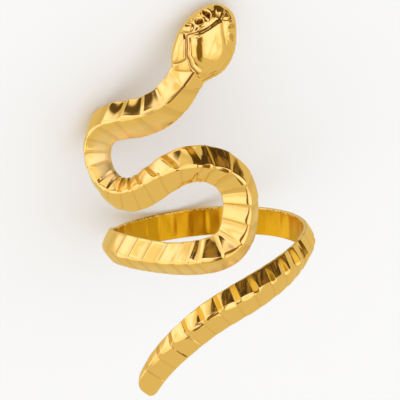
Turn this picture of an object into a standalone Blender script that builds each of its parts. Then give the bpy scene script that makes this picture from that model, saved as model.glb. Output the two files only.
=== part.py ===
# Snake ring: one cast piece. A flat-backed, ridged snake body winds once round the finger,
# climbs the finger in an S to a plated head, and runs down the other way to a blunt tail.
# Metres, +Z up. The ring is modelled upright round a finger and then laid on its side as it rests.

import math

import bmesh
import bpy
import numpy as np
from mathutils import Matrix, Vector

# Driving sizes
INSIDE_DIAMETER = 0.0180        # finger bore, a wearer's size 8, open ring
BODY_WIDTH = 0.0034             # across the snake where it is widest
BODY_RISE = 0.0019              # inner face to ridge, in the raised S
HEAD_HEIGHT = 0.0172            # band to the back of the head, along the finger
TAIL_DROP = 0.0129              # band to the tip of the tail, along the finger
COIL_OPENING = 0.0021           # how much further the S stands off than the band
SCALE_LENGTH = 0.0016           # one body scale, along the snake
SCALE_STEP = 0.00012            # how far a scale's end stands over the next scale
TAIL_ROUND = 0.0011             # length of the rounded tail tip
HEAD_LENGTH = 0.0077
HEAD_WIDTH = 0.0054
HEAD_RISE = 0.0022              # flat underside to crown
PLATE_RAISE = 0.00016           # how far the head plates stand up
PIT_DEPTH = 0.00030             # the dark hollows beside the snout

# Settings that shape the winding
OPENING_TURN = 22.0             # degrees right of front where the S's circle meets the band's
HEAD_TURN = 15.0                # degrees right of front that the head faces
HEAD_LEAN = 29.5                # degrees the snout leans to the right
HEAD_BACK_TURN = -3.0           # degrees right of front where the middle of the head's back lies
HEAD_BACK_HEIGHT = 0.977        # its height, as a share of HEAD_HEIGHT
NECK_TWIST = 0.0045             # length over which the body turns to face as the head does
EDGE_SHARE = 0.30               # side wall, as a share of the rise
INNER_SHARE = 0.94              # inner face, as a share of the width
RIDGE_SHARE = 0.09               # half of the ridge's flat, as a share of half the width
SWELL_SHARE = 0.03              # how full each facet is, as a share of the rise
CHEVRON_SHARE = 0.62            # how far a scale's middle runs on, as a share of half the width
CREST_SHARE = 0.78              # where along a scale it stands highest
WAVE_SHARE = 0.35               # the inner face's waves, as a share of the scale's step
PATH_STEPS = 1500
REST_SIDE = (-0.38, 0.70, 0.60)  # the side that faces down, seen from the upright ring

# The winding, from the head's back to the tail's tip.
# turn: degrees round the finger, right of front; height: share of HEAD_HEIGHT above the band
# and of TAIL_DROP below it; opened: share of COIL_OPENING; width: share of BODY_WIDTH;
# rise: share of BODY_RISE; ridge: shift to the snake's left, share of half the width;
# scale: share of SCALE_LENGTH
ROUTE_COLUMNS = ("turn", "height", "opened", "width", "rise", "ridge", "scale")
ROUTE = (
    (2.0, 1.09, 1.0, 0.88, 0.90, 0.00, 1.60),
    (-3.2, 0.99, 1.0, 0.97, 0.98, 0.00, 1.60),
    (-12.0, 0.865, 1.0, 1.05, 1.00, -0.05, 1.50),
    (-26.5, 0.785, 1.0, 1.08, 1.00, -0.10, 1.30),
    (-38.5, 0.759, 1.0, 1.06, 1.00, -0.05, 1.12),
    (-47.8, 0.702, 1.0, 1.02, 1.04, 0.00, 1.00),
    (-52.2, 0.598, 1.0, 1.00, 1.05, 0.00, 0.95),
    (-50.1, 0.469, 1.0, 0.92, 1.03, 0.10, 0.88),
    (-42.0, 0.380, 1.0, 0.88, 1.00, 0.22, 0.82),
    (-33.0, 0.363, 1.0, 0.93, 0.98, 0.30, 0.84),
    (-18.6, 0.445, 1.0, 0.98, 0.98, 0.22, 0.95),
    (-4.0, 0.530, 1.0, 1.02, 0.98, 0.00, 1.00),
    (10.0, 0.505, 1.0, 1.01, 0.97, 0.08, 0.95),
    (18.6, 0.385, 1.0, 1.02, 0.94, 0.30, 0.97),
    (19.1, 0.228, 1.0, 1.04, 0.88, 0.30, 1.02),
    (13.4, 0.079, 0.8, 1.04, 0.80, 0.28, 1.08),
    (-3.5, 0.022, 0.3, 0.97, 0.69, 0.18, 1.08),
    (-30.0, 0.014, 0.0, 0.87, 0.63, 0.17, 1.00),
    (-65.0, 0.010, 0.0, 0.80, 0.62, 0.08, 0.88),
    (-110.0, -0.018, 0.0, 0.80, 0.62, 0.00, 0.94),
    (-180.0, -0.008, 0.0, 0.84, 0.60, 0.00, 0.94),
    (-245.0, -0.014, 0.0, 0.82, 0.58, 0.00, 0.94),
    (-285.0, -0.065, 0.0, 0.88, 0.60, 0.00, 0.94),
    (-310.0, -0.145, 0.0, 0.94, 0.63, -0.05, 0.96),
    (-338.0, -0.277, 0.0, 1.00, 0.63, -0.12, 1.00),
    (-360.0, -0.415, 0.0, 0.95, 0.62, -0.20, 1.02),
    (-380.0, -0.610, 0.0, 0.87, 0.60, -0.32, 1.12),
    (-394.5, -0.790, 0.0, 0.80, 0.55, -0.42, 1.25),
    (-408.3, -1.013, 0.0, 0.72, 0.48, -0.45, 1.30),
)

# The head in plan. along: share of HEAD_LENGTH from its back; half: share of half HEAD_WIDTH;
# rise: share of HEAD_RISE at the middle
HEAD_COLUMNS = ("along", "half", "rise")
HEAD_PLAN = (
    (0.00, 0.54, 0.70),
    (0.08, 0.69, 0.80),
    (0.20, 0.87, 0.90),
    (0.36, 0.98, 0.98),
    (0.54, 1.00, 1.00),
    (0.70, 0.88, 0.94),
    (0.84, 0.67, 0.82),
    (0.94, 0.44, 0.66),
    (1.00, 0.20, 0.46),
)

# The head's top, side to side. across: share of the half width; up: share of the rise there
CROWN = ((-1.0, 0.34), (-0.84, 0.66), (-0.52, 0.90), (0.0, 1.0), (0.52, 0.90), (0.84, 0.66), (1.0, 0.34))

# Raised plates, each one an outline with round corners. along and across place its middle,
# long and wide are its half sizes (shares of HEAD_LENGTH and of half HEAD_WIDTH), turn is in
# degrees, full is its corners' fullness, raise is a share of PLATE_RAISE, dome lifts the middle
PLATE_COLUMNS = ("name", "along", "across", "long", "wide", "turn", "full", "raise", "dome", "mirrored")
PLATES = (
    ("shield_rim", 0.450, 0.00, 0.310, 0.50, 0.0, 2.0, 0.7, 0.0, False),
    ("shield", 0.490, 0.00, 0.250, 0.40, 0.0, 2.2, 1.6, 1.8, False),
    ("cheek", 0.300, -0.76, 0.125, 0.18, 14.0, 3.0, 1.0, 0.5, True),
    ("temple", 0.505, -0.75, 0.062, 0.15, -8.0, 3.0, 1.0, 0.4, True),
    ("brow", 0.720, -0.54, 0.125, 0.18, -26.0, 3.0, 1.3, 0.0, True),
    ("snout_plate", 0.890, -0.18, 0.052, 0.14, -8.0, 2.6, 1.0, 0.5, True),
    ("nape", 0.105, -0.38, 0.055, 0.20, 20.0, 2.6, 0.7, 0.3, True),
)

# Hollows cut in each brow plate
PIT_COLUMNS = ("along", "across", "long", "wide", "turn")
PITS = (
    (0.665, -0.60, 0.046, 0.115, -24.0),
    (0.775, -0.45, 0.048, 0.120, -24.0),
)
PIT_SIDES = 6
PIT_TAPER = 0.7                 # a hollow's floor, as a share of its mouth
PLATE_SIDES = 16


def clear_scene():
    for item in list(bpy.data.objects):
        bpy.data.objects.remove(item)


def make_collection(name):
    collection = bpy.data.collections.new(name)
    bpy.context.scene.collection.children.link(collection)
    return collection


def gold_material():
    material = bpy.data.materials.new("polished_gold_plate")
    material.use_nodes = True
    shader = material.node_tree.nodes["Principled BSDF"]
    shader.inputs["Base Color"].default_value = (0.86, 0.60, 0.20, 1.0)
    shader.inputs["Metallic"].default_value = 1.0
    shader.inputs["Roughness"].default_value = 0.16
    return material


def columns(rows, names):
    return {name: np.array([row[index] for row in rows]) for index, name in enumerate(names)}


def smooth_curve(at, values, wanted):
    """Natural cubic through values at the places in at, read at the wanted places."""
    count = len(at)
    gap = np.diff(at)
    matrix = np.zeros((count, count))
    right = np.zeros(count)
    matrix[0, 0] = matrix[-1, -1] = 1.0
    for i in range(1, count - 1):
        matrix[i, i - 1:i + 2] = gap[i - 1], 2 * (gap[i - 1] + gap[i]), gap[i]
        right[i] = 6 * ((values[i + 1] - values[i]) / gap[i] - (values[i] - values[i - 1]) / gap[i - 1])
    bend = np.linalg.solve(matrix, right)
    k = np.clip(np.searchsorted(at, wanted, side="right") - 1, 0, count - 2)
    after, before, span = at[k + 1] - wanted, wanted - at[k], gap[k]
    curved = (bend[k] * after ** 3 + bend[k + 1] * before ** 3) / (6 * span)
    low = (values[k] / span - bend[k] * span / 6) * after
    high = (values[k + 1] / span - bend[k + 1] * span / 6) * before
    return curved + low + high


def on_coil(turn, height, opened):
    """A point of the inner face: on the finger, or on the wider circle that touches it."""
    turn, away = np.radians(turn), math.radians(OPENING_TURN)
    extra = opened * COIL_OPENING
    radius = INSIDE_DIAMETER / 2 + extra
    x = radius * np.sin(turn) - extra * math.sin(away)
    y = extra * math.cos(away) - radius * np.cos(turn)
    return np.stack([x, y, height], axis=-1)


def unit(vectors):
    return vectors / np.linalg.norm(vectors, axis=-1, keepdims=True)


def winding():
    """The snake's path and sizes, read at even steps along it."""
    table = columns(ROUTE, ROUTE_COLUMNS)
    table["height"] = table["height"] * np.where(table["height"] > 0, HEAD_HEIGHT, TAIL_DROP)
    knots = on_coil(table["turn"], table["height"], table["opened"])
    reach = np.concatenate([[0.0], np.cumsum(np.linalg.norm(np.diff(knots, axis=0), axis=1))])
    for _ in range(2):
        wanted = np.linspace(0.0, reach[-1], PATH_STEPS)
        read = {name: smooth_curve(reach, table[name], wanted) for name in ROUTE_COLUMNS}
        path = on_coil(read["turn"], read["height"], read["opened"])
        run = np.concatenate([[0.0], np.cumsum(np.linalg.norm(np.diff(path, axis=0), axis=1))])
        reach = np.interp(reach, wanted, run)
    turn = np.radians(read["turn"])
    outward = np.stack([np.sin(turn), -np.cos(turn), 0 * turn], axis=-1)
    near = np.clip(1.0 - run / NECK_TWIST, 0.0, 1.0)[:, None]
    facing = np.array(head_frame()[2])
    outward = unit(outward + (facing - outward) * near * near * (3 - 2 * near))
    onward = unit(np.gradient(path, axis=0))
    outward = unit(outward - onward * (onward * outward).sum(axis=1, keepdims=True))
    left = np.cross(outward, onward)
    read.update(run=run, path=path, outward=outward, left=left)
    read["half"] = read["width"] * BODY_WIDTH / 2
    read["rise"] = read["rise"] * BODY_RISE
    return read


def scale_stations(read):
    """Places of the rings: a low start, a slope and a high end for each scale."""
    length = read["run"][-1]
    count_at = np.concatenate([[0.0], np.cumsum(np.diff(read["run"]) / (read["scale"][:-1] * SCALE_LENGTH))])
    rings = []
    for number in range(int(count_at[-1]) + 1):
        for share, lift in ((0.0, -1.0), (CREST_SHARE / 2, -0.42), (CREST_SHARE, 0.0)):
            if number + share < count_at[-1]:
                rings.append((float(np.interp(number + share, count_at, read["run"])), lift))
    last = length - TAIL_ROUND
    rings = [ring for ring in rings if ring[0] < last - SCALE_LENGTH / 6]
    return rings + [(last, -0.5)]


def section():
    """One ring of the body: side, up, how far it runs on, and how it takes the scale's step."""
    inner, edge, ridge = INNER_SHARE, EDGE_SHARE, RIDGE_SHARE
    middle = (1 + ridge) / 2
    lift = (1 + edge) / 2 + SWELL_SHARE
    return (
        (-inner, 0.0, 0.0, 0.0),
        (0.0, 0.0, 0.0, WAVE_SHARE),
        (inner, 0.0, 0.0, 0.0),
        (1.0, edge, 0.0, 1.0),
        (middle, lift, 0.5, 1.0),
        (ridge, 1.0, 1.0, 1.0),
        (-ridge, 1.0, 1.0, 1.0),
        (-middle, lift, 0.5, 1.0),
        (-1.0, edge, 0.0, 1.0),
    )


def body_point(read, at, side, up, lift, shrink):
    """A point of the skin at a place along the snake; the ridge may stand off the middle."""
    look = {name: np.interp(at, read["run"], read[name]) for name in ("half", "rise", "ridge")}
    place = [np.array([np.interp(at, read["run"], read[name][:, i]) for i in range(3)])
             for name in ("path", "outward", "left")]
    spread = side + look["ridge"] * (1 - abs(side)) * (up > 0)
    across = look["half"] * shrink * spread
    height = look["rise"] * up * shrink
    step = lift * SCALE_STEP * shrink
    if up > 0:
        height += step
        across += step * side
    else:
        height -= step
    return place[0] + place[1] * height + place[2] * across


def body_mesh(read):
    """Loft the sections along the winding, with a flat start under the head and a round tip."""
    shape = section()
    mesh = bmesh.new()
    rings = []
    end = read["run"][-1]
    for at, lift in scale_stations(read):
        fade = min(1.0, (end - TAIL_ROUND - at) / (2 * SCALE_LENGTH))
        ring = []
        for side, up, onward, stepped in shape:
            half = np.interp(at, read["run"], read["half"])
            place = min(at + onward * CHEVRON_SHARE * half * fade, end)
            ring.append(mesh.verts.new(body_point(read, place, side, up, lift * stepped, 1.0)))
        rings.append(ring)
    for degrees in (25, 50, 70):
        at = end - TAIL_ROUND * (1 - math.sin(math.radians(degrees)))
        shrink = math.cos(math.radians(degrees))
        places = [body_point(read, at, side, up, 0.0, shrink) for side, up, _, _ in shape]
        rings.append([mesh.verts.new(place) for place in places])
    for ring, following in zip(rings, rings[1:]):
        for i in range(len(shape)):
            j = (i + 1) % len(shape)
            mesh.faces.new((ring[i], ring[j], following[j], following[i]))
    mesh.faces.new(rings[0])
    mesh.faces.new(rings[-1])
    return finish_mesh(mesh, "snake_body")


def finish_mesh(mesh, name):
    bmesh.ops.recalc_face_normals(mesh, faces=mesh.faces)
    bmesh.ops.triangulate(mesh, faces=mesh.faces)
    data = bpy.data.meshes.new(name)
    mesh.to_mesh(data)
    mesh.free()
    return data


def head_size(along):
    """Half width and rise of the head at a share of its length."""
    plan = columns(HEAD_PLAN, HEAD_COLUMNS)
    half = np.interp(along, plan["along"], plan["half"]) * HEAD_WIDTH / 2
    rise = np.interp(along, plan["along"], plan["rise"]) * HEAD_RISE
    return half, rise


def head_top(along, across):
    """Height of the head's plain top; across is a share of half the head's full width."""
    half, rise = head_size(along)
    side = np.clip(across * HEAD_WIDTH / 2 / half, -1.0, 1.0)
    crown = np.array(CROWN)
    return rise * np.interp(side, crown[:, 0], crown[:, 1])


def head_mesh():
    mesh = bmesh.new()
    rings = []
    for along, _, _ in HEAD_PLAN:
        half, rise = head_size(along)
        y = along * HEAD_LENGTH
        ring = [mesh.verts.new((half, y, 0.0)), mesh.verts.new((-half, y, 0.0))]
        for side, up in CROWN:
            ring.append(mesh.verts.new((side * half, y, up * rise)))
        rings.append(ring)
    for ring, following in zip(rings, rings[1:]):
        for i in range(len(ring)):
            j = (i + 1) % len(ring)
            mesh.faces.new((ring[i], ring[j], following[j], following[i]))
    mesh.faces.new(rings[0])
    mesh.faces.new(rings[-1])
    return finish_mesh(mesh, "head")


def outline(along, across, long, wide, turn, full):
    """Round-cornered outline on the head's plan, in shares of its length and half width."""
    points = []
    for number in range(PLATE_SIDES):
        angle = 2 * math.pi * number / PLATE_SIDES
        x = math.copysign(abs(math.cos(angle)) ** (2 / full), math.cos(angle)) * wide * HEAD_WIDTH / 2
        y = math.copysign(abs(math.sin(angle)) ** (2 / full), math.sin(angle)) * long * HEAD_LENGTH
        spin = math.radians(turn)
        points.append((along * HEAD_LENGTH + x * math.sin(spin) + y * math.cos(spin),
                       across * HEAD_WIDTH / 2 + x * math.cos(spin) - y * math.sin(spin)))
    return points


def plate_mesh(name, plate, side, foot):
    """A raised plate: its foot lies inside the head and its top follows the head's crown."""
    across, spin = plate["across"] * side, plate["turn"] * side
    points = outline(plate["along"], across, plate["long"], plate["wide"], spin, plate["full"])
    middle = np.mean(points, axis=0)
    raised = plate["raise"] * PLATE_RAISE
    full_rise = raised * (1 + plate["dome"])
    layers = ((1.0, -foot), (1.0, raised * 0.5), (0.86, raised), (0.45, (raised + 3 * full_rise) / 4))
    mesh = bmesh.new()
    rings = []
    for share, lift in layers:
        ring = []
        for y, x in points:
            y, x = middle[0] + (y - middle[0]) * share, middle[1] + (x - middle[1]) * share
            top = head_top(y / HEAD_LENGTH, x / (HEAD_WIDTH / 2))
            ring.append(mesh.verts.new((x, y, top + lift)))
        rings.append(ring)
    for ring, following in zip(rings, rings[1:]):
        for i in range(PLATE_SIDES):
            j = (i + 1) % PLATE_SIDES
            mesh.faces.new((ring[i], ring[j], following[j], following[i]))
    crown = head_top(middle[0] / HEAD_LENGTH, middle[1] / (HEAD_WIDTH / 2))
    for ring, lift in ((rings[0], -foot), (rings[-1], full_rise)):
        tip = mesh.verts.new((middle[1], middle[0], crown + lift))
        for i in range(PLATE_SIDES):
            mesh.faces.new((ring[i], ring[(i + 1) % PLATE_SIDES], tip))
    return finish_mesh(mesh, name)


def head_frame():
    """Where the head's back lies, which way its snout points and which way it faces."""
    turn, lean = math.radians(HEAD_TURN), math.radians(HEAD_LEAN)
    facing = Vector((math.sin(turn), -math.cos(turn), 0.0))
    right = Vector((math.cos(turn), math.sin(turn), 0.0))
    ahead = Vector((0.0, 0.0, 1.0)) * math.cos(lean) + right * math.sin(lean)
    across = ahead.cross(facing)
    return ahead, across, facing


def head_matrix():
    ahead, across, facing = head_frame()
    back = Vector(on_coil(HEAD_BACK_TURN, HEAD_BACK_HEIGHT * HEAD_HEIGHT, 1.0))
    matrix = Matrix((across, ahead, facing)).transposed().to_4x4()
    matrix.translation = back
    return matrix


def add_object(name, data, collection, material, matrix, helper):
    item = bpy.data.objects.new(name, data)
    data.materials.append(material)
    collection.objects.link(item)
    item.matrix_world = matrix
    if helper:
        item.hide_render = True
        item.display_type = "WIRE"
    return item


def add_boolean(item, name, operation, collection):
    boolean = item.modifiers.new(name, "BOOLEAN")
    boolean.operation = operation
    boolean.solver = "EXACT"
    boolean.operand_type = "COLLECTION"
    boolean.collection = collection


def add_plates(collection, material, matrix):
    for number, row in enumerate(PLATES):
        plate = dict(zip(PLATE_COLUMNS, row))
        foot = PLATE_RAISE * (2 + number / 4)
        for side in ((1, -1) if plate["mirrored"] else (1,)):
            name = plate["name"] + ("_right" if side < 0 else "")
            add_object(name, plate_mesh(name, plate, side, foot), collection, material, matrix, True)


def add_pits(collection, material, matrix):
    for number, row in enumerate(PITS):
        pit = dict(zip(PIT_COLUMNS, row))
        for side in (1, -1):
            y, x = pit["along"] * HEAD_LENGTH, pit["across"] * side * HEAD_WIDTH / 2
            top = head_top(pit["along"], pit["across"] * side)
            mesh = bmesh.new()
            bmesh.ops.create_cone(mesh, cap_ends=True, segments=PIT_SIDES, radius1=PIT_TAPER,
                                  radius2=1.0, depth=1.0)
            size = (pit["wide"] * HEAD_WIDTH / 2, pit["long"] * HEAD_LENGTH, 2 * (PIT_DEPTH + PLATE_RAISE))
            bmesh.ops.scale(mesh, vec=size, verts=mesh.verts)
            spin = Matrix.Rotation(math.radians(-pit["turn"] * side), 3, "Z")
            bmesh.ops.rotate(mesh, matrix=spin, verts=mesh.verts)
            bmesh.ops.translate(mesh, vec=(x, y, top + 2 * PLATE_RAISE), verts=mesh.verts)
            name = f"pit_{number}_{'left' if side > 0 else 'right'}"
            add_object(name, finish_mesh(mesh, name), collection, material, matrix, True)


def solid_points(item):
    """Corners of the finished solid, and its centre of volume."""
    seen = item.evaluated_get(bpy.context.evaluated_depsgraph_get())
    data = seen.to_mesh()
    mesh = bmesh.new()
    mesh.from_mesh(data)
    seen.to_mesh_clear()
    bmesh.ops.triangulate(mesh, faces=mesh.faces)
    volume, centre = 0.0, Vector((0.0, 0.0, 0.0))
    for face in mesh.faces:
        a, b, c = (vert.co for vert in face.verts)
        part = a.dot(b.cross(c)) / 6
        volume += part
        centre += part * (a + b + c) / 4
    return mesh, centre / volume


def holds(corners, normal, centre):
    """True if the centre's shadow on the face lies inside it."""
    signs = []
    for i, corner in enumerate(corners):
        edge = corners[(i + 1) % len(corners)] - corner
        signs.append(edge.cross(centre - corner).dot(normal))
    return all(sign >= 0 for sign in signs) or all(sign <= 0 for sign in signs)


def resting_side(mesh, centre):
    """Outward direction of the hull face that holds the ring up nearest the wanted side."""
    hull = bmesh.ops.convex_hull(mesh, input=mesh.verts)
    faces = [part for part in hull["geom"] if isinstance(part, bmesh.types.BMFace)]
    wanted = Vector(REST_SIDE).normalized()
    best, down = -2.0, wanted
    for face in faces:
        normal = face.normal.copy()
        if normal.dot(face.calc_center_median() - centre) < 0:
            normal.negate()
        if holds([vert.co for vert in face.verts], normal, centre) and normal.dot(wanted) > best:
            best, down = normal.dot(wanted), normal
    return down


def resting_matrix(item):
    """Lay the ring on that side, its bore's length along X, its box centred over the origin."""
    mesh, centre = solid_points(item)
    points = [vert.co.copy() for vert in mesh.verts]
    down = resting_side(mesh, centre)
    mesh.free()
    laid = down.rotation_difference(Vector((0.0, 0.0, -1.0))).to_matrix()
    bore = laid @ Vector((0.0, 0.0, 1.0))
    level = Matrix.Rotation(math.pi - math.atan2(bore.y, bore.x), 3, "Z")
    turned = level @ laid
    places = np.array([turned @ point for point in points])
    low, high = places.min(axis=0), places.max(axis=0)
    matrix = turned.to_4x4()
    matrix.translation = (-(low[0] + high[0]) / 2, -(low[1] + high[1]) / 2, -low[2])
    return matrix


def build():
    clear_scene()
    ring_parts = make_collection("snake_ring")
    raised = make_collection("raised_helpers")
    cutters = make_collection("cutters")
    material = gold_material()
    matrix = head_matrix()
    ring = add_object("snake_ring", body_mesh(winding()), ring_parts, material, Matrix(), False)
    add_object("head", head_mesh(), raised, material, matrix, True)
    add_plates(raised, material, matrix)
    add_pits(cutters, material, matrix)
    add_boolean(ring, "fuse_head", "UNION", raised)
    add_boolean(ring, "cut_pits", "DIFFERENCE", cutters)
    rest = bpy.data.objects.new("ring_rest", None)
    bpy.context.scene.collection.objects.link(rest)
    for item in [ring, *raised.objects, *cutters.objects]:
        item.parent = rest
    bpy.context.view_layer.update()
    rest.matrix_world = resting_matrix(ring)
    bpy.context.view_layer.update()


build()
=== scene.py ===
# Snake ring, cast in one piece and polished: a ridged, scaled snake winds round the finger,
# climbs it in an S to a plated head and runs down to a blunt tail. It lies on a pale floor.

import math

import bpy
import numpy as np
from mathutils import Matrix, Vector


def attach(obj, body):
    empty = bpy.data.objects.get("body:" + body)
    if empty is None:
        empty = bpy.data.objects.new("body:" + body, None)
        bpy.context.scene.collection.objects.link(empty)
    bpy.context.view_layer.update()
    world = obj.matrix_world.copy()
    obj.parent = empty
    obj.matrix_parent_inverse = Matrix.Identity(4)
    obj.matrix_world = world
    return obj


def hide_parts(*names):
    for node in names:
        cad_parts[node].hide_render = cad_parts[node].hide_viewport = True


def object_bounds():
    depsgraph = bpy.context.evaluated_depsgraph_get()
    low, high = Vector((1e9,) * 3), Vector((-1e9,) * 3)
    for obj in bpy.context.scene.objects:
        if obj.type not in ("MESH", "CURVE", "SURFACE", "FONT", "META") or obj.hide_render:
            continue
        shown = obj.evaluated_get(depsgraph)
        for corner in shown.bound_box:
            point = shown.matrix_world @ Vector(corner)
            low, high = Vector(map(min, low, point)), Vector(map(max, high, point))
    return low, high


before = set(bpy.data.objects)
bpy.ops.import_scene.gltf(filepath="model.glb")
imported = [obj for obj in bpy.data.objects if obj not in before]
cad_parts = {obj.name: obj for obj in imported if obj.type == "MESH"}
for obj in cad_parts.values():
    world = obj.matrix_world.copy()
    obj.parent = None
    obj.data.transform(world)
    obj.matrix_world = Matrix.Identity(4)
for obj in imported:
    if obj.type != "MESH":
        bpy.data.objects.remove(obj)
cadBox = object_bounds()
bpy.ops.object.select_all(action="DESELECT")
scene = bpy.context.scene


class Value:
    # a node's output that Python's + - * work on
    def __init__(self, board, socket):
        self.board = board
        self.socket = socket

    def maths(self, operation, *numbers):
        return self.board.add("ShaderNodeMath", {"operation": operation}, dict(enumerate(numbers)))

    def __add__(self, other):
        return self.maths("ADD", self, other)

    def __radd__(self, other):
        return self.maths("ADD", other, self)

    def __sub__(self, other):
        return self.maths("SUBTRACT", self, other)

    def __rsub__(self, other):
        return self.maths("SUBTRACT", other, self)

    def __mul__(self, other):
        return self.maths("MULTIPLY", self, other)

    def __rmul__(self, other):
        return self.maths("MULTIPLY", other, self)


class Board:
    # the node tree of one material or of the world
    def __init__(self, owner):
        owner.use_nodes = True
        self.tree = owner.node_tree
        self.tree.nodes.clear()

    def add(self, kind, settings={}, inputs={}, output=0):
        node = self.tree.nodes.new(kind)
        for name, value in settings.items():
            setattr(node, name, value)
        for name, value in inputs.items():
            if isinstance(value, Value):
                self.tree.links.new(value.socket, node.inputs[name])
            else:
                node.inputs[name].default_value = value
        return Value(self, node.outputs[output]) if len(node.outputs) else None

    def blend(self, share, first, second):
        # two colours mixed by a share; 6 and 7 are the Mix node's colour inputs, 2 its colour output
        mixed = {"data_type": "RGBA", "clamp_factor": True}
        return self.add("ShaderNodeMix", mixed, {0: share, 6: first, 7: second}, 2)

    def spread(self, value, low, high, start=0.0, end=1.0, kind="SMOOTHSTEP"):
        # from start at low to end at high
        limits = {0: value, 1: low, 2: high, 3: start, 4: end}
        return self.add("ShaderNodeMapRange", {"interpolation_type": kind}, limits)


def smoothCurve(at, values, wanted):
    # a smooth line through values at the places in at, read at the wanted places
    count = len(at)
    gap = np.diff(at)
    matrix = np.zeros((count, count))
    right = np.zeros(count)
    matrix[0, 0] = matrix[-1, -1] = 1.0
    for i in range(1, count - 1):
        matrix[i, i - 1:i + 2] = gap[i - 1], 2 * (gap[i - 1] + gap[i]), gap[i]
        slopes = (values[i + 1] - values[i]) / gap[i], (values[i] - values[i - 1]) / gap[i - 1]
        right[i] = 6 * (slopes[0] - slopes[1])
    bend = np.linalg.solve(matrix, right)
    k = np.clip(np.searchsorted(at, wanted, side="right") - 1, 0, count - 2)
    after, before, span = at[k + 1] - wanted, wanted - at[k], gap[k]
    curved = (bend[k] * after ** 3 + bend[k + 1] * before ** 3) / (6 * span)
    low = (values[k] / span - bend[k] * span / 6) * after
    high = (values[k + 1] / span - bend[k + 1] * span / 6) * before
    return curved + low + high


def unit(vectors):
    return vectors / np.linalg.norm(vectors, axis=-1, keepdims=True)


def ease(low, high, x):
    # from 0 at low to 1 at high, soft at both; low may be the greater one
    share = np.clip((x - low) / (high - low), 0.0, 1.0)
    return share * share * (3 - 2 * share)


view = {
    "place": (-0.204111, -0.124002, 0.179492),
    "aim": (0.005521, 0.001036, 0.005037),
    "imageUp": (-0.679110, 0.130819, -0.722285),
    "lens": 284.2,
    "sensor": 36.0,
}


def cameraAxes():
    back = (Vector(view["place"]) - Vector(view["aim"])).normalized()
    right = Vector(view["imageUp"]).cross(back).normalized()
    return right, back.cross(right), back


def addCamera():
    bpy.ops.object.camera_add(location=view["place"])
    camera = bpy.context.object
    camera.name = "studioCamera"
    camera.rotation_euler = Matrix(cameraAxes()).transposed().to_euler()
    camera.data.lens = view["lens"]
    camera.data.sensor_width = view["sensor"]
    scene.camera = camera
    print("camera set")


floorLook = {"side": 1.6, "colour": (0.86, 0.86, 0.86, 1.0), "roughness": 0.55, "specular": 0.2}


def addFloor():
    bpy.ops.mesh.primitive_plane_add(size=floorLook["side"])
    floor = bpy.context.object
    floor.name = "paleFloor"
    material = bpy.data.materials.new("paleFloor")
    board = Board(material)
    shader = board.add("ShaderNodeBsdfPrincipled", {}, {
        "Base Color": floorLook["colour"],
        "Roughness": floorLook["roughness"],
        "Specular IOR Level": floorLook["specular"],
    })
    board.add("ShaderNodeOutputMaterial", {}, {"Surface": shader})
    floor.data.materials.append(material)
    floor.visible_glossy = False    # the gold mirrors the studio alone
    print("floor laid")


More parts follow.
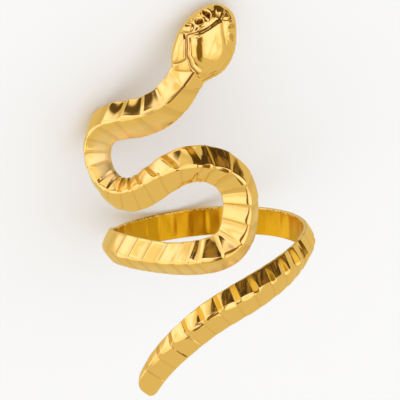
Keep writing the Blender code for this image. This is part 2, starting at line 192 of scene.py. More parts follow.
snake = {
    # the upright ring, in metres and degrees
    "bore": 0.0180,
    "width": 0.0034,
    "rise": 0.0019,             # from the inner face to the ridge
    "headHeight": 0.0172,       # from the band's middle along the finger to the head
    "tailDrop": 0.0129,         # and to the tail
    "coilOpening": 0.0021,      # how far the S stands off the finger
    "openingTurn": 22.0,        # and which way it does
    "neckTwist": 0.0045,        # length over which the neck turns into the head's facing
    "tailRound": 0.0014,
    # the upright ring's side that it lies on, and where the band's middle then is
    "downSide": (-0.337281, 0.714543, 0.612920),
    "middle": (0.007843, 0.001294, 0.008095),
    # turn round the finger, height, opened, width, rise, ridge's shift
    "route": (
        (1.6, 1.09, 1.0, 0.97, 0.90, 0.00),
        (-3.5, 0.99, 1.0, 1.00, 0.98, 0.00),
        (-12.0, 0.865, 1.0, 1.05, 1.00, -0.05),
        (-26.5, 0.785, 1.0, 1.08, 1.00, -0.10),
        (-38.5, 0.759, 1.0, 1.06, 1.00, -0.05),
        (-47.8, 0.702, 1.0, 1.02, 1.04, 0.00),
        (-52.2, 0.598, 1.0, 1.00, 1.05, 0.00),
        (-50.1, 0.469, 1.0, 0.92, 1.03, 0.10),
        (-42.0, 0.380, 1.0, 0.88, 1.00, 0.22),
        (-33.0, 0.363, 1.0, 0.93, 0.98, 0.30),
        (-18.6, 0.445, 1.0, 0.98, 0.98, 0.22),
        (-4.0, 0.530, 1.0, 1.02, 0.98, 0.00),
        (10.0, 0.505, 1.0, 1.01, 0.97, 0.08),
        (18.6, 0.385, 1.0, 1.02, 0.94, 0.30),
        (19.1, 0.228, 1.0, 1.04, 0.88, 0.30),
        (13.4, 0.079, 0.8, 1.04, 0.80, 0.28),
        (-3.5, 0.022, 0.3, 0.97, 0.69, 0.18),
        (-30.0, 0.014, 0.0, 0.87, 0.63, 0.17),
        (-65.0, 0.010, 0.0, 0.80, 0.62, 0.08),
        (-110.0, -0.018, 0.0, 0.80, 0.62, 0.00),
        (-180.0, -0.008, 0.0, 0.84, 0.60, 0.00),
        (-245.0, -0.014, 0.0, 0.82, 0.58, 0.00),
        (-285.0, -0.065, 0.0, 0.88, 0.60, 0.00),
        (-310.0, -0.145, 0.0, 0.94, 0.63, -0.05),
        (-338.0, -0.277, 0.0, 1.00, 0.63, -0.12),
        (-360.0, -0.415, 0.0, 0.95, 0.62, -0.20),
        (-380.0, -0.610, 0.0, 0.87, 0.60, -0.32),
        (-394.5, -0.790, 0.0, 0.80, 0.55, -0.42),
        (-408.3, -1.013, 0.0, 0.72, 0.48, -0.45),
    ),
    "pathPoints": 3000,

    # its section, in shares of half the width and of the rise
    "wall": ((0.95, 0.03), (0.985, 0.15), (1.0, 0.25), (0.995, 0.295)),
    "edge": 0.30,               # where a wall ends and a face begins
    "apex": 1.069,              # where the two faces would meet
    "roundThin": 0.11,          # half of the ridge's rounding at a scale's ends
    "roundWide": 0.25,          # and in its middle
    "roundPower": 0.8,
    "swell": 0.03,              # of the faces
    "flat": 0.92,               # of the inner face
    "faceStart": 0.04,          # where the points on a face and on the ridge start
    "ridgeStart": 0.8,
    "facePoints": 12,
    "ridgePoints": 5,
    "innerPoints": 14,

    # ends of its scales in millimetres along the body: from the head, then even, then on the tail
    "headEnds": (0.0, 2.2, 4.3, 6.5, 8.55, 10.45, 12.4, 14.1, 15.9, 17.6, 18.7, 19.95, 21.2, 22.4,
                 23.9, 25.75, 27.5, 28.6, 30.3, 32.1, 33.9, 35.6, 37.3, 38.8, 40.5, 41.35, 42.5,
                 44.0, 45.65, 47.3, 49.0, 50.7),
    "evenEnds": 21,
    "tailEnds": (85.0, 86.6, 88.2, 89.85, 91.5, 93.35, 95.1, 96.75, 98.45, 100.2, 102.0, 103.8,
                 105.7, 107.6, 109.5),
    "pastTail": 0.002,          # the ends are kept so far past the tail's tip
    # ring places along a scale and how low each lies; the crest, and the short face down from it
    "rings": ((0.00, -1.0), (0.02, -0.97), (0.12, -0.76), (0.24, -0.52), (0.36, -0.32), (0.48, -0.16),
              (0.60, -0.05), (0.69, -0.005), (0.73, -0.03), (0.76, -0.12), (0.87, -0.56), (0.96, -0.93)),
    "crest": 0.69,
    "shortFace": (0.73, 0.76),
    "tipRings": 14,             # rings that round the tail's tip off, and how low they lie
    "tipLift": -0.5,
    "stepDown": 0.00012,        # from a scale's end down to the next scale
    "uneven": 0.30,             # how much the scales' steps differ from each other
    "tilt": 0.03,               # and how far they tip to one side
    "seed": 11,
    "wave": 0.55,               # waves of the inner face, of the step
    "calmer": 0.55,             # how much smaller the steps are on the calm side
    "calmBorder": 5,            # and how sharply that side begins
    "chevronFade": 0.003,       # the V runs out before the tail's tip

    # what changes along the body, by millimetres from the head: how many times the step down
    "steps": ((0, 1.0), (26, 1.0), (29, 1.6), (33, 1.6), (36, 1.0), (79, 1.0), (82, 1.6), (87, 2.7),
              (99, 2.8), (103, 1.7), (106, 1.0), (110, 0.6)),
    # share of the step that is left at the body's edges
    "edgeStep": ((0, 0.8), (20, 1.0), (26, 0.9), (30, 0.4), (40, 0.35), (50, 0.35), (58, 0.12),
                 (80, 0.12), (85, 0.3), (110, 0.2)),
    # the calm side of the ridge, 1 or -1
    "calmSide": ((0, 1.0), (14, 1.0), (18, -1.0), (29, -1.0), (33, 1.0), (110, 1.0)),
    # how much wider the body is on the side below 0, of half the width
    "wider": ((0, 0.0), (44, 0.0), (46, 0.12), (50, 0.33), (54, 0.28), (57, 0.0), (110, 0.0)),
    # how far a scale's end runs on at the ridge, of half the width
    "chevron": ((0, 0.22), (5, 0.22), (8, 0.32), (12, 0.32), (16, 0.15), (20, 0.40), (28, 0.50),
                (31, 0.22), (38, 0.22), (41, 0.50), (60, 0.50), (85, 0.15), (110, 0.12)),
    # how early its crest comes: a power of the ring places
    "early": ((0, 0.5), (12, 0.5), (17, 0.9), (26, 0.9), (29, 0.6), (31, 0.45), (60, 0.45), (85, 1.0),
              (91, 1.1), (101, 1.1), (110, 1.5)),
    # how dark the painted shade line along the ridge is on the neck
    "ridgeLine": ((0, 0.8), (3.2, 0.8), (4.2, 0.0), (4.9, 0.0), (5.2, 0.6), (5.9, 0.6), (6.3, 0.0),
                  (110, 0.0)),
    # painted reflection of gold in gold, a deeper gold on the short faces, on one side of the ridge or,
    # below 0, on the other
    "shortPaintedReflection": ((0, 0.0), (18.5, 0.0), (19.5, 0.9), (23, 0.8), (29, 0.8), (31, 0.0), (85, 0.0),
                  (87, -0.9), (101, -0.9), (105, -0.3), (110, 0.0)),
    # how satin the faces' outer halves are on the side over 0
    "satin": ((0, 0.0), (4.5, 0.0), (6.5, 0.8), (17, 0.8), (20, 0.4), (24, 0.4), (27, 0.0), (33, 0.0),
              (35, 0.8), (46, 0.8), (48, 0.0), (110, 0.0)),

    # where those looks begin and are full, from the ridge to the side
    "ridgeBand": (0.03, 0.12),
    "satinBand": (0.25, 0.6),
    "seamLift": (-0.90, -1.0),  # the seam between two scales, by how low a ring lies
    "seamDark": 0.15,           # how dark the painted shade in it is, and how much of the short faces' painted reflection of gold in gold it takes
    "seamPaintedReflection": 0.6,
}


def onCoil(turn, height, opened):
    # a place on the finger's cylinder, or off it where the S is opened
    turn, away = np.radians(turn), math.radians(snake["openingTurn"])
    extra = opened * snake["coilOpening"]
    radius = snake["bore"] / 2 + extra
    x = radius * np.sin(turn) - extra * math.sin(away)
    y = extra * math.cos(away) - radius * np.cos(turn)
    return np.stack([x, y, height], axis=-1)


def lengthAlong(points):
    gaps = np.linalg.norm(np.diff(points, axis=0), axis=1)
    return np.concatenate([[0.0], np.cumsum(gaps)])


def winding():
    # the body's middle line, its sizes and its directions at even places along it
    names = ("turn", "height", "opened", "width", "rise", "ridge")
    table = dict(zip(names, np.array(snake["route"]).T))
    reach = np.where(table["height"] > 0, snake["headHeight"], snake["tailDrop"])
    table["height"] = table["height"] * reach
    reach = lengthAlong(onCoil(table["turn"], table["height"], table["opened"]))
    for _ in range(2):    # the second time by the curve's own length
        wanted = np.linspace(0.0, reach[-1], snake["pathPoints"])
        read = {name: smoothCurve(reach, table[name], wanted) for name in names}
        path = onCoil(read["turn"], read["height"], read["opened"])
        run = lengthAlong(path)
        reach = np.interp(reach, wanted, run)
    turn = np.radians(read["turn"])
    outward = np.stack([np.sin(turn), -np.cos(turn), 0 * turn], axis=-1)
    near = ease(snake["neckTwist"], 0.0, run)[:, None]
    outward = unit(outward + (np.array(headAxes()[2]) - outward) * near)
    onward = unit(np.gradient(path, axis=0))
    outward = unit(outward - onward * (onward * outward).sum(axis=1, keepdims=True))
    read.update(run=run, path=path, outward=outward, left=np.cross(outward, onward))
    read["half"] = read["width"] * snake["width"] / 2
    read["rise"] = read["rise"] * snake["rise"]
    return read


def alongBody(name, run):
    places, values = np.array(snake[name]).T
    return np.interp(run * 1000, places, values)


def sectionAt(rounding):
    # the section as a closed line of (side, up) points; its two faces meet in a rounded ridge
    edge, apex = snake["edge"], snake["apex"]
    slope = apex - edge
    share = np.linspace(snake["faceStart"], 1.0, snake["facePoints"])
    side = 1 - share * (1 - rounding)
    up = apex - slope * side + snake["swell"] * np.sin(math.pi * share)
    face = np.stack([side, up], 1)
    turned = np.linspace(snake["ridgeStart"], 0.0, snake["ridgePoints"])
    peak = apex - slope * rounding / 2 - slope * rounding * turned ** 2 / 2
    ridge = np.stack([rounding * turned, peak], 1)
    half = np.concatenate([snake["wall"], face, ridge])
    flat = np.linspace(-snake["flat"], snake["flat"], snake["innerPoints"])
    flat = np.stack([flat, 0 * flat], 1)
    return np.concatenate([flat, half, half[-2::-1] * (-1, 1)])


def scaleEnds(length):
    first, last = snake["headEnds"], snake["tailEnds"]
    even = np.linspace(first[-1], last[0], snake["evenEnds"] + 1)[1:-1]
    ends = np.concatenate([first, even, last]) / 1000
    return ends[ends < length + snake["pastTail"]]


def ringPlaces(ends, end):
    # each ring's run along the body, lift, share of its scale, scale's number and size
    last = end - snake["tailRound"]
    places = []
    for number in range(len(ends) - 1):
        early = alongBody("early", ends[number])
        for share, lift in snake["rings"]:
            run = ends[number] + (ends[number + 1] - ends[number]) * share ** early
            if run < last:
                places.append((run, lift, share, number, 1.0))
    number = places[-1][3]
    for angle in np.linspace(0, 90, snake["tipRings"]):
        run = end - snake["tailRound"] * (1 - math.sin(math.radians(angle)))
        places.append((run, snake["tipLift"], 0.5, number, math.cos(math.radians(angle))))
    return places


def bodyRings():
    # closed rings of points, and of shares from 0 to 1: how much painted shade, how much painted
    # reflection of gold in gold, how satin
    read = winding()
    end = read["run"][-1]
    last = end - snake["tailRound"]
    ends = scaleEnds(end)
    chance = np.random.default_rng(snake["seed"])
    steeper = 1 + snake["uneven"] * chance.uniform(-1, 1, len(ends) + 1)
    tilted = snake["tilt"] * chance.uniform(-1, 1, len(ends) + 1)
    rings, darks, paintedReflections, satins = [], [], [], []
    for run, lift, share, number, size in ringPlaces(ends, end):
        bulge = math.sin(math.pi * share) ** snake["roundPower"]
        rounding = snake["roundThin"] + (snake["roundWide"] - snake["roundThin"]) * bulge
        side, up = sectionAt(rounding).T
        off = np.abs(side)
        weight = np.clip(up / snake["edge"], 0, 1)
        outer = up >= snake["wall"][-1][1]    # the two faces and the walls' upper ends

        # a point near the ridge is read further on, which gives the V
        fade = np.clip((last - run) / snake["chevronFade"], 0.0, 1.0)
        chevron = alongBody("chevron", run) * np.interp(run, read["run"], read["half"]) * fade
        at = np.minimum(run + np.where(outer, 1 - off, 0) * chevron, end)
        half, rise, ridge = (
            np.interp(at, read["run"], read[name])
            for name in ("half", "rise", "ridge"))
        middle, outward, left = (
            np.stack([np.interp(at, read["run"], read[name][:, i]) for i in range(3)], -1)
            for name in ("path", "outward", "left"))

        # the step, less at the edges and on the calm side
        follow = ease(snake["crest"], 1.0, share)
        lean = tilted[number] * (1 - follow) + tilted[number + 1] * follow
        steep = steeper[number + 1] if share > 0 else steeper[number]
        edgeStep = alongBody("edgeStep", run)
        calm = np.clip(alongBody("calmSide", run) * side * snake["calmBorder"], 0, 1)
        stepDown = snake["stepDown"] * alongBody("steps", run) * (1 - snake["calmer"] * calm)
        raised = lift * steep * stepDown * size * (edgeStep + (1 - edgeStep) * (1 - off))

        wider = np.where(side < 0, 1 + alongBody("wider", run), 1.0)
        across = half * size * (side * wider + ridge * (1 - off) * (up > 0)) + raised * side * weight
        height = rise * up * size + (raised + lean * side * half * size) * weight
        wave = snake["wave"] * (1 - math.cos(2 * math.pi * share)) / 2 * np.cos(side * math.pi / 2)
        height = np.where(up > 0, height, snake["stepDown"] * wave * size)
        rings.append(middle + outward * height[:, None] + left * across[:, None])

        offRidge = ease(*snake["ridgeBand"], off)
        # painted shade: darker in the seams between scales and as a dark line along the neck's ridge
        seam = snake["seamDark"] * ease(*snake["seamLift"], lift)
        dark = np.maximum(seam, alongBody("ridgeLine", run) * (1 - offRidge))
        darks.append(np.where(outer, dark, 0.0))
        # painted reflection of gold in gold: the inner face and the short faces take a deeper gold
        short = ease(*snake["shortFace"], share) + snake["seamPaintedReflection"] * (share == 0)
        tone = np.clip(alongBody("shortPaintedReflection", run) * np.sign(side), 0, 1) * short * offRidge
        paintedReflections.append(np.where(up > 0, tone, 1.0))
        wall = np.where((up > 0) & (up < snake["edge"]), 1.0, 0.0)
        satin = alongBody("satin", run) * ease(*snake["satinBand"], side) * (up > 0)
        satins.append(np.maximum(wall, satin))
    print("body's rings laid:", len(rings))
    # deep is painted shade, inside is a painted reflection of gold in gold
    shares = {"deep": np.array(darks), "inside": np.array(paintedReflections), "worn": np.array(satins)}
    return np.array(rings), shares


head = {
    "length": 0.0077,
    "width": 0.0054,
    "rise": 0.0022,
    "turn": 15.0,               # round the finger, in degrees, and how far it leans to its side
    "lean": 29.5,
    "backTurn": -3.0,           # where its back lies on the finger's cylinder
    "backHeight": 0.977,
    "stations": 260,            # how many points along it and across it
    "across": 230,
    "crowding": 1.5,            # how much closer they lie at the snout
    # along, half the width, rise
    "plan": ((0.00, 0.54, 0.70), (0.08, 0.69, 0.80), (0.20, 0.87, 0.90), (0.36, 0.98, 0.98),
             (0.54, 1.00, 1.00), (0.70, 0.88, 0.945), (0.84, 0.70, 0.85), (0.94, 0.575, 0.74),
             (1.00, 0.52, 0.62)),
    "snoutWidth": (14, 0.5),    # how bluntly the width and the rise end at the snout
    "snoutRise": (18, 0.45),
    "wall": 0.46,               # the walls' share of the rise
    "lowWall": (0.2, (0.0, 0.5)),    # how much less it is where the head is like the neck, and across
    "crown": (3.4, 0.75),       # the crown's two powers, and those where it is like the neck
    "neckCrown": (1.2, 0.95),
    "neckAlong": (0.40, 0.05),  # where it grows like it, along and across
    "neckAcross": (-0.1, 0.3),
    "neckNear": 0.6,            # how much of the neck's form the near side takes
    "frontShift": 0.06,         # how far the snout leans to a side, and where that begins
    "frontFrom": 0.75,
    "backEdge": 0.145,          # where the head ends on the neck, in the middle of its back
    "backCurve": 0.085,         # and how much further back at its sides
    "backPower": 1.6,
    # the far side: how much narrower, lower and longer it is at the back; then along, across
    "farTrim": (0.13, (0.35, 0.05), (0.2, 1.0)),
    "farSink": (0.28, (0.14, -0.08), (0.0, 0.4)),
    "farBack": (0.15, (0.1, 1.0)),
    "farSide": 0.35,            # the plates' share on that side, which is worn smoother
    "farFrom": (-0.05, 0.25),   # and where it begins, in millimetres from the middle
    # the plates lean a little to the right at the back: along, shift of their middle line
    "middleLine": ((0.0, 0.09), (0.25, 0.09), (0.60, -0.03), (1.0, -0.02)),
    "cornerCut": 0.22,          # how much of each side of a plate's outline its corners take
    "grooveWidth": 0.075,       # in millimetres, as are the next three
    "lineWidth": 0.055,
    "floorEdge": 0.07,
    "tipEdge": (-0.02, 0.10),
    "untilSoft": 0.04,
    "flushFrom": (0.97, 0.985), # the relief runs out from here to the snout and to the sides
    # the underside from a side to the middle: how wide, how high
    "under": ((1.0, 0.6), (1.0, 0.25), (0.985, 0.10), (0.95, 0.02), (0.90, 0.0), (0.6, 0.0), (0.3, 0.0)),

    # its plates. Outlines are (along, across) in shares of the head's length and half its width, and
    # heights are over the distance in from the outline, both in millimetres. Whole plates are mirrored
    # over the middle line, and the others stand once on each side of it. Line and floor say how dark the
    # painted shade is along the outline's groove and on a pit's floor, groove how deep, tip how much it
    # rises to the front, until how far along the plate's edge shows
    "plates": {
        "dome": {
            "whole": True, "groove": 0.0, "line": 0.25,
            "heights": ((-0.05, 0.0), (0.03, 0.01), (0.20, 0.075), (0.42, 0.125), (0.70, 0.160),
                        (0.98, 0.190), (1.25, 0.200)),
            "outline": ((0.835, 0.0), (0.81, 0.12), (0.76, 0.19), (0.685, 0.31), (0.625, 0.45),
                        (0.565, 0.57), (0.51, 0.66), (0.475, 0.68), (0.42, 0.635), (0.36, 0.55),
                        (0.30, 0.46), (0.255, 0.33), (0.232, 0.16), (0.228, 0.0))},
        "rim": {
            "whole": True, "groove": 0.06, "line": 1.0, "until": 0.57,
            "heights": ((-0.05, 0.0), (0.03, 0.01), (0.14, 0.07), (0.20, 0.075), (0.27, 0.055),
                        (0.36, 0.03), (0.50, 0.03)),
            "outline": ((0.835, 0.0), (0.81, 0.12), (0.76, 0.19), (0.685, 0.31), (0.628, 0.45),
                        (0.57, 0.60), (0.542, 0.72), (0.50, 0.86), (0.45, 0.82), (0.393, 0.75),
                        (0.333, 0.70), (0.275, 0.64), (0.235, 0.49), (0.182, 0.37), (0.158, 0.18),
                        (0.143, 0.0))},
        "browHollow": {
            "whole": False, "groove": 0.0, "line": 0.0, "floor": 0.8,
            "heights": ((-0.06, 0.0), (0.04, -0.03), (0.12, -0.05)),
            "outline": ((0.60, 0.55), (0.65, 0.44), (0.72, 0.28), (0.70, 0.235), (0.64, 0.33),
                        (0.585, 0.47))},
        "cheek": {
            "whole": False, "groove": 0.05, "line": 0.9,
            "heights": ((-0.05, 0.0), (0.03, 0.012), (0.14, 0.06), (0.30, 0.085), (0.60, 0.10)),
            "outline": ((0.505, 1.15), (0.50, 0.93), (0.46, 0.87), (0.393, 0.80), (0.333, 0.75),
                        (0.275, 0.69), (0.238, 0.62), (0.20, 0.66), (0.163, 0.73), (0.13, 0.82),
                        (0.11, 0.95), (0.11, 1.15))},
        "temple": {
            "whole": False, "groove": 0.04, "line": 0.8,
            "heights": ((-0.05, 0.0), (0.03, 0.012), (0.12, 0.06), (0.25, 0.085)),
            "outline": ((0.517, 1.05), (0.52, 0.88), (0.560, 0.73), (0.625, 0.72), (0.65, 0.80),
                        (0.61, 1.05))},
        "pitOne": {
            "whole": False, "groove": 0.0, "line": 0.0, "floor": 1.0,
            "heights": ((-0.24, 0.0), (-0.16, 0.03), (-0.07, 0.05), (0.0, 0.0), (0.07, -0.12),
                        (0.18, -0.15)),
            "outline": ((0.715, 0.745), (0.755, 0.575), (0.712, 0.485), (0.668, 0.60), (0.658, 0.715))},
        "pitTwo": {
            "whole": False, "groove": 0.0, "line": 0.0, "floor": 1.0,
            "heights": ((-0.24, 0.0), (-0.16, 0.03), (-0.07, 0.05), (0.0, 0.0), (0.07, -0.12),
                        (0.18, -0.15)),
            "outline": ((0.80, 0.63), (0.86, 0.585), (0.855, 0.39), (0.778, 0.325), (0.792, 0.47))},
        "snout": {
            "whole": False, "groove": 0.045, "line": 0.9, "tip": 0.34,
            "heights": ((-0.05, 0.0), (0.03, 0.012), (0.12, 0.06), (0.25, 0.075)),
            "outline": ((0.848, 0.045), (0.848, 0.13), (0.865, 0.25), (0.905, 0.29), (0.94, 0.18),
                        (0.945, 0.045))},
    },
}


def headAxes():
    turn, lean = math.radians(head["turn"]), math.radians(head["lean"])
    facing = Vector((math.sin(turn), -math.cos(turn), 0.0))
    right = Vector((math.cos(turn), math.sin(turn), 0.0))
    ahead = Vector((0.0, 0.0, 1.0)) * math.cos(lean) + right * math.sin(lean)
    return ahead, ahead.cross(facing), facing


def headMatrix():
    ahead, across, facing = headAxes()
    matrix = Matrix((across, ahead, facing)).transposed().to_4x4()
    matrix.translation = onCoil(head["backTurn"], head["backHeight"] * snake["headHeight"], 1.0)
    return matrix


def restMatrix():
    # the upright ring laid on its side
    laid = Vector(snake["downSide"]).rotation_difference(Vector((0.0, 0.0, -1.0))).to_matrix()
    bore = laid @ Vector((0.0, 0.0, 1.0))
    matrix = (Matrix.Rotation(math.pi - math.atan2(bore.y, bore.x), 3, "Z") @ laid).to_4x4()
    matrix.translation = snake["middle"]
    return matrix


def moved(points, matrix):
    turned = np.array(matrix.to_3x3())
    return points @ turned.T + np.array(matrix.translation)


def inside(x, y, outline):
    # distance in from a closed outline, less than 0 outside it
    best = np.full(x.shape, 9.0)    # further than any point is
    within = np.zeros(x.shape, bool)
    for (x1, y1), (x2, y2) in zip(outline, np.roll(outline, -1, axis=0)):
        wide, high = x2 - x1, y2 - y1
        share = ((x - x1) * wide + (y - y1) * high) / (wide ** 2 + high ** 2 + 1e-9)
        share = np.clip(share, 0, 1)
        best = np.minimum(best, np.hypot(x - x1 - share * wide, y - y1 - share * high))
        crossing = (y1 > y) != (y2 > y)
        within ^= crossing & (x < wide * (y - y1) / (high + 1e-12) + x1)
    return np.where(within, best, -best)


def rounded(corners):
    # a closed line with its corners cut off
    cut = head["cornerCut"]
    points = np.array(corners, float)
    following = np.roll(points, -1, axis=0)
    near, far = points * (1 - cut) + following * cut, points * cut + following * (1 - cut)
    return np.stack([near, far], 1).reshape(-1, 2)


def plateRelief(along, across):
    # how far the head's top stands up at each point, in millimetres, and how much painted shade lies
    # there in grooves and pit floors
    middle = np.array(head["middleLine"])
    size = np.array([head["width"] / 2, head["length"]]) * 1000
    x = (across - np.interp(along, middle[:, 0], middle[:, 1])) * size[0]
    y = along * size[1]
    shown = 1 - (1 - head["farSide"]) * ease(*head["farFrom"], x)
    total, dark = np.zeros(x.shape), np.zeros(x.shape)
    for name, plate in head["plates"].items():
        corners = [(side * size[0], place * size[1]) for place, side in plate["outline"]]
        if plate["whole"]:
            corners += [(-side, place) for side, place in reversed(corners[1:-1])]
        deep = inside(x if plate["whole"] else np.abs(x), y, rounded(corners))
        reach, heights = np.array(plate["heights"]).T
        until = plate.get("until", 2.0)    # 2 is past the head's end
        ended = ease(until + head["untilSoft"], until - head["untilSoft"], along)
        faint = (1.0 if name == "dome" else shown) * ended
        total += smoothCurve(reach, heights, np.clip(deep, reach[0], reach[-1])) * faint
        first = min(place for place, side in plate["outline"]) * size[1]
        total += plate.get("tip", 0.0) * (y - first) * ease(*head["tipEdge"], deep) * shown
        total -= plate["groove"] * np.exp(-(deep / head["grooveWidth"]) ** 2) * shown * ended
        # painted shade: a dark line along each plate's outline and a dark floor in the pits
        line = plate["line"] * np.exp(-(deep / head["lineWidth"]) ** 2) * shown ** 2
        bottom = plate.get("floor", 0.0) * ease(0.0, head["floorEdge"], deep) * shown
        dark = np.maximum(dark, np.maximum(line, bottom))
    return total, dark


def farPatch(name, along, across):
    amount, alongLimits, acrossLimits = head[name]
    return amount * ease(*alongLimits, along) * ease(*acrossLimits, across)


def headTop(along, across):
    # points of the head's plain top; across runs from -1 to 1 over its own width there
    table = np.array(head["plan"])
    blunt, power = head["snoutWidth"]
    half = smoothCurve(table[:, 0], table[:, 1], along) * np.clip(1 - along ** blunt, 0, 1) ** power
    half = half - farPatch("farTrim", along, across)
    blunt, power = head["snoutRise"]
    rise = smoothCurve(table[:, 0], table[:, 2], along) * np.clip(1 - along ** blunt, 0, 1) ** power
    rise = rise * head["rise"] * (1 - farPatch("farSink", along, across))
    # towards the back the crown turns into the neck's two faces, more so on the far side
    near = head["neckNear"]
    neckLike = ease(*head["neckAlong"], along)
    neckLike = neckLike * (near + (1 - near) * ease(*head["neckAcross"], across))
    lower, limits = head["lowWall"]
    wall = head["wall"] - lower * neckLike * ease(*limits, across)
    sharp, full = (plain + (neck - plain) * neckLike
                   for plain, neck in zip(head["crown"], head["neckCrown"]))
    crown = wall + (1 - wall) * np.clip(1 - np.abs(across) ** sharp, 0, 1) ** full
    place = across * half + head["frontShift"] * ease(head["frontFrom"], 1.0, along)
    return np.stack([place * head["width"] / 2, along * head["length"], rise * crown], -1), place


def headRings():
    # rings of points across the head, and how much painted shade each point has
    share = 1 - (1 - np.linspace(0, 1, head["stations"])) ** head["crowding"]
    across = np.sin(np.linspace(-math.pi / 2, math.pi / 2, head["across"]))
    share, across = np.meshgrid(share, across, indexing="ij")
    longer, limits = head["farBack"]
    back = head["backEdge"] - head["backCurve"] * np.abs(across) ** head["backPower"]
    back = back - longer * ease(*limits, across)
    along = back + (1 - back) * share
    top, place = headTop(along, across)
    normal = np.cross(np.gradient(top, axis=1), np.gradient(top, axis=0))
    normal /= np.maximum(np.linalg.norm(normal, axis=-1, keepdims=True), 1e-12)
    flush = [ease(1.0, limit, at) for limit, at in zip(head["flushFrom"], (along, np.abs(across)))]
    fade = flush[0] * flush[1]
    relief, dark = plateRelief(along, place)
    top = top + normal * (relief * fade)[..., None] / 1000
    right, left = top[:, -1], top[:, 0]
    under = [right * (wide, 1, high) for wide, high in head["under"]]
    under.append(0.5 * (right + left) * (1, 1, 0))
    under += [left * (wide, 1, high) for wide, high in reversed(head["under"])]
    dark = np.pad(dark * fade, ((0, 0), (0, len(under))))
    print("head's rings laid:", len(top))
    return np.concatenate([top, np.stack(under, 1)], axis=1), dark


skinLimits = {
    "inBox": 0.000005,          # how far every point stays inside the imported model's box
    "weld": 0.00000001,
    "smoothUpTo": 35.0,         # degrees between two faces
}


def skin(name, rings, shares):
    # a grid wrapped into a closed skin: each row of the grid is one ring, and both ends are capped
    count, points = rings.shape[:2]
    caps = [np.repeat(ring.mean(axis=0)[None], points, axis=0) for ring in (rings[0], rings[-1])]
    rings = np.concatenate([caps[0][None], rings, caps[1][None]])
    rings = np.concatenate([rings, rings[:, :1]], axis=1)
    low, high = np.array(cadBox[0]), np.array(cadBox[1])
    rings = np.clip(rings, low + skinLimits["inBox"], high - skinLimits["inBox"])
    bpy.ops.mesh.primitive_grid_add(x_subdivisions=points, y_subdivisions=count + 1, size=0.01)
    piece = bpy.context.object
    piece.name = name
    piece.data.vertices.foreach_set("co", rings.reshape(-1))
    for share, values in shares.items():
        values = np.pad(values, ((1, 1), (0, 1)), mode="edge")
        attribute = piece.data.attributes.new(share, "FLOAT", "POINT")
        attribute.data.foreach_set("value", values.reshape(-1))
    bpy.ops.object.mode_set(mode="EDIT")
    bpy.ops.mesh.select_all(action="SELECT")
    bpy.ops.mesh.remove_doubles(threshold=skinLimits["weld"])
    bpy.ops.mesh.normals_make_consistent(inside=False)
    bpy.ops.object.mode_set(mode="OBJECT")
    bpy.ops.object.shade_smooth_by_angle(angle=math.radians(skinLimits["smoothUpTo"]))
    return piece


gold = {
    "colour": (1.0, 0.76, 0.36, 1.0),
    # painted shade: dark brown laid into seams, grooves, pit floors and along the neck's ridge
    "paintedShade": (0.20, 0.08, 0.01, 1.0),
    # painted reflection of gold in gold, deeper and more saturated, for the inner face and the short
    # faces
    "paintedGoldReflection": (0.71, 0.43, 0.02, 1.0),
    "wornEdges": (1.0, 0.84, 0.55, 1.0),
    "roughness": 0.06,
    "innerRoughness": 0.22,
    "wornRoughness": 0.40,
    "unevenPolish": 0.05,       # how much the roughness changes in patches, and the patches' scale
    "patches": 900.0,
    "waves": 0.00002,           # how high the polish waves are, in metres, and their scale
    "waveScale": 450.0,
}


def goldMaterial():
    material = bpy.data.materials.new("polishedGold")
    board = Board(material)
    # deep is painted shade in grooves, seams and pits; inside is a painted reflection of gold in gold;
    # worn a paler, rougher finish
    deep, tone, worn = (board.add("ShaderNodeAttribute", {"attribute_name": name}, {}, "Fac")
                        for name in ("deep", "inside", "worn"))
    # the inner face and the short faces take a deeper gold: painted reflection of gold in gold
    colour = board.blend(tone, board.blend(worn, gold["colour"], gold["wornEdges"]), gold["paintedGoldReflection"])
    roughness = tone * (gold["innerRoughness"] - gold["roughness"]) + gold["roughness"]
    roughness = roughness + worn * (gold["wornRoughness"] - gold["roughness"])
    place = board.add("ShaderNodeTexCoord", {}, {}, "Object")
    patches = {"Vector": place, "Scale": gold["patches"], "Detail": 3.0}
    patches = board.add("ShaderNodeTexNoise", {}, patches) - 0.5
    waves = {"Vector": place, "Scale": gold["waveScale"], "Detail": 1.0}
    waves = board.add("ShaderNodeTexNoise", {}, waves)
    bump = {"Height": waves, "Distance": gold["waves"], "Strength": 1.0}
    shader = board.add("ShaderNodeBsdfPrincipled", {}, {
        "Base Color": board.blend(deep, colour, gold["paintedShade"]),
        "Metallic": 1.0,
        "Roughness": roughness + patches * gold["unevenPolish"],
        "Normal": board.add("ShaderNodeBump", {}, bump),
    })
    board.add("ShaderNodeOutputMaterial", {}, {"Surface": shader})
    return material


def addSnake():
    material = goldMaterial()
    rest = restMatrix()
    rings, shares = bodyRings()
    body = skin("snake_body", moved(rings, rest), shares)
    bpy.ops.object.select_all(action="DESELECT")
    rings, dark = headRings()
    # the head takes painted shade in its grooves and pits
    shares = {"deep": dark, "inside": 0 * dark, "worn": 0 * dark}
    top = skin("snake_head", moved(rings, rest @ headMatrix()), shares)
    for piece in (body, top):
        piece.data.materials.append(material)
        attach(piece, "root")
        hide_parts("snake_ring")
    print("snake made:", len(body.data.polygons), len(top.data.polygons))


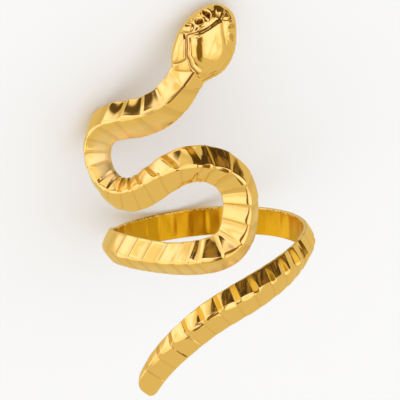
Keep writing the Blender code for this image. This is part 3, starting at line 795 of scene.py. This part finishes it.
# Soft boxes and dark cards round the ring, as it mirrors them, each over the ones before it. In degrees
# from the photo's viewpoint: to the right of it from and to, above it from and to, soft edge. Then the
# card's light, and what runs over it
studio = {
    "plain": (1.12, 1.12, 1.12, 1.0),         # the room's light on what doesn't mirror it
    "mirrored": (0.74, 0.595, 0.275, 1.0),    # and between the cards
    "cards": (
        ("band", -118, 56, -20, 19, 5, (1.30, 1.108, 0.903, 1.0), "clouds"),
        ("lowLeft", -62, -5, -36, -10, 5, (1.25, 1.023, 0.645, 1.0), "clouds"),
        ("domeBox", 14, 62, -35, 15, 5, (1.32, 1.127, 0.927, 1.0), "clouds"),
        ("leftBox", -105, -24, 10, 39, 6, (1.35, 1.146, 0.975, 1.0), "clouds"),
        ("highBox", -112, -32, 50, 88, 3, (1.20, 0.994, 0.766, 1.0), "clouds"),
        ("gap", -2, 17, -46, 14, 4, (0.22, 0.123, 0.016, 1.0), "nothing"),
        ("darkCorner", -14, -5, 15, 22, 1.5, (0.07, 0.043, 0.016, 1.0), "nothing"),
        ("darkLow", -14, 95, 20, 36, 1.5, (0.07, 0.043, 0.016, 1.0), "streaks"),
        ("darkTop", -16, 95, 31, 78, 2, (0.07, 0.043, 0.016, 1.0), "streaks"),
        ("darkLeft", -112, -54, 40, 49, 2, (0.12, 0.076, 0.024, 1.0), "nothing"),
        ("darkBack", 90, 182, 47, 80, 3, (0.10, 0.057, 0.016, 1.0), "nothing"),
    ),
    # colour, noise scale, noise detail, from, to, kind of edge
    "clouds": ((1.06, 0.86, 0.46, 1.0), 3.5, 1.0, 0.42, 0.64, "SMOOTHSTEP"),
    "streaks": ((0.34, 0.199, 0.04, 1.0), 7.0, 3.0, 0.45, 0.62, "LINEAR"),
}


def window(board, angle, low, high, edge):
    # 1 where an angle lies between two limits, soft at both
    up = board.spread(angle, low - edge, low + edge)
    return up * board.spread(angle, high - edge, high + edge, 1.0, 0.0)


def addStudio():
    world = bpy.data.worlds.new("studio")
    scene.world = world
    board = Board(world)
    direction = board.add("ShaderNodeTexCoord", {}, {}, "Generated")
    right, up, back = (
        board.add("ShaderNodeVectorMath", {"operation": "DOT_PRODUCT"}, {0: direction, 1: axis}, 1)
        for axis in cameraAxes())
    turned = right.maths("ARCTAN2", right, back) * (180 / math.pi)
    raised = up.maths("ARCSINE", up) * (180 / math.pi)
    patterns = {}
    for name in ("clouds", "streaks"):
        colour, scale, detail, low, high, kind = studio[name]
        noise = {"Vector": direction, "Scale": scale, "Detail": detail}
        noise = board.add("ShaderNodeTexNoise", {}, noise)
        patterns[name] = board.spread(noise, low, high, kind=kind)
    mirrored = studio["mirrored"]
    for name, left, far, low, high, edge, tone, over in studio["cards"]:
        share = window(board, turned, left, far, edge) * window(board, raised, low, high, edge)
        if over in patterns:
            tone = board.blend(patterns[over], tone, studio[over][0])
        mirrored = board.blend(share, mirrored, tone)
    glossy = board.add("ShaderNodeLightPath", {}, {}, "Is Glossy Ray")
    light = board.blend(glossy, studio["plain"], mirrored)
    shader = board.add("ShaderNodeBackground", {}, {"Color": light, "Strength": 1.0})
    board.add("ShaderNodeOutputWorld", {}, {"Surface": shader})
    scene.view_settings.view_transform = "Standard"
    print("studio lit")


addCamera()
addFloor()
addSnake()
addStudio()
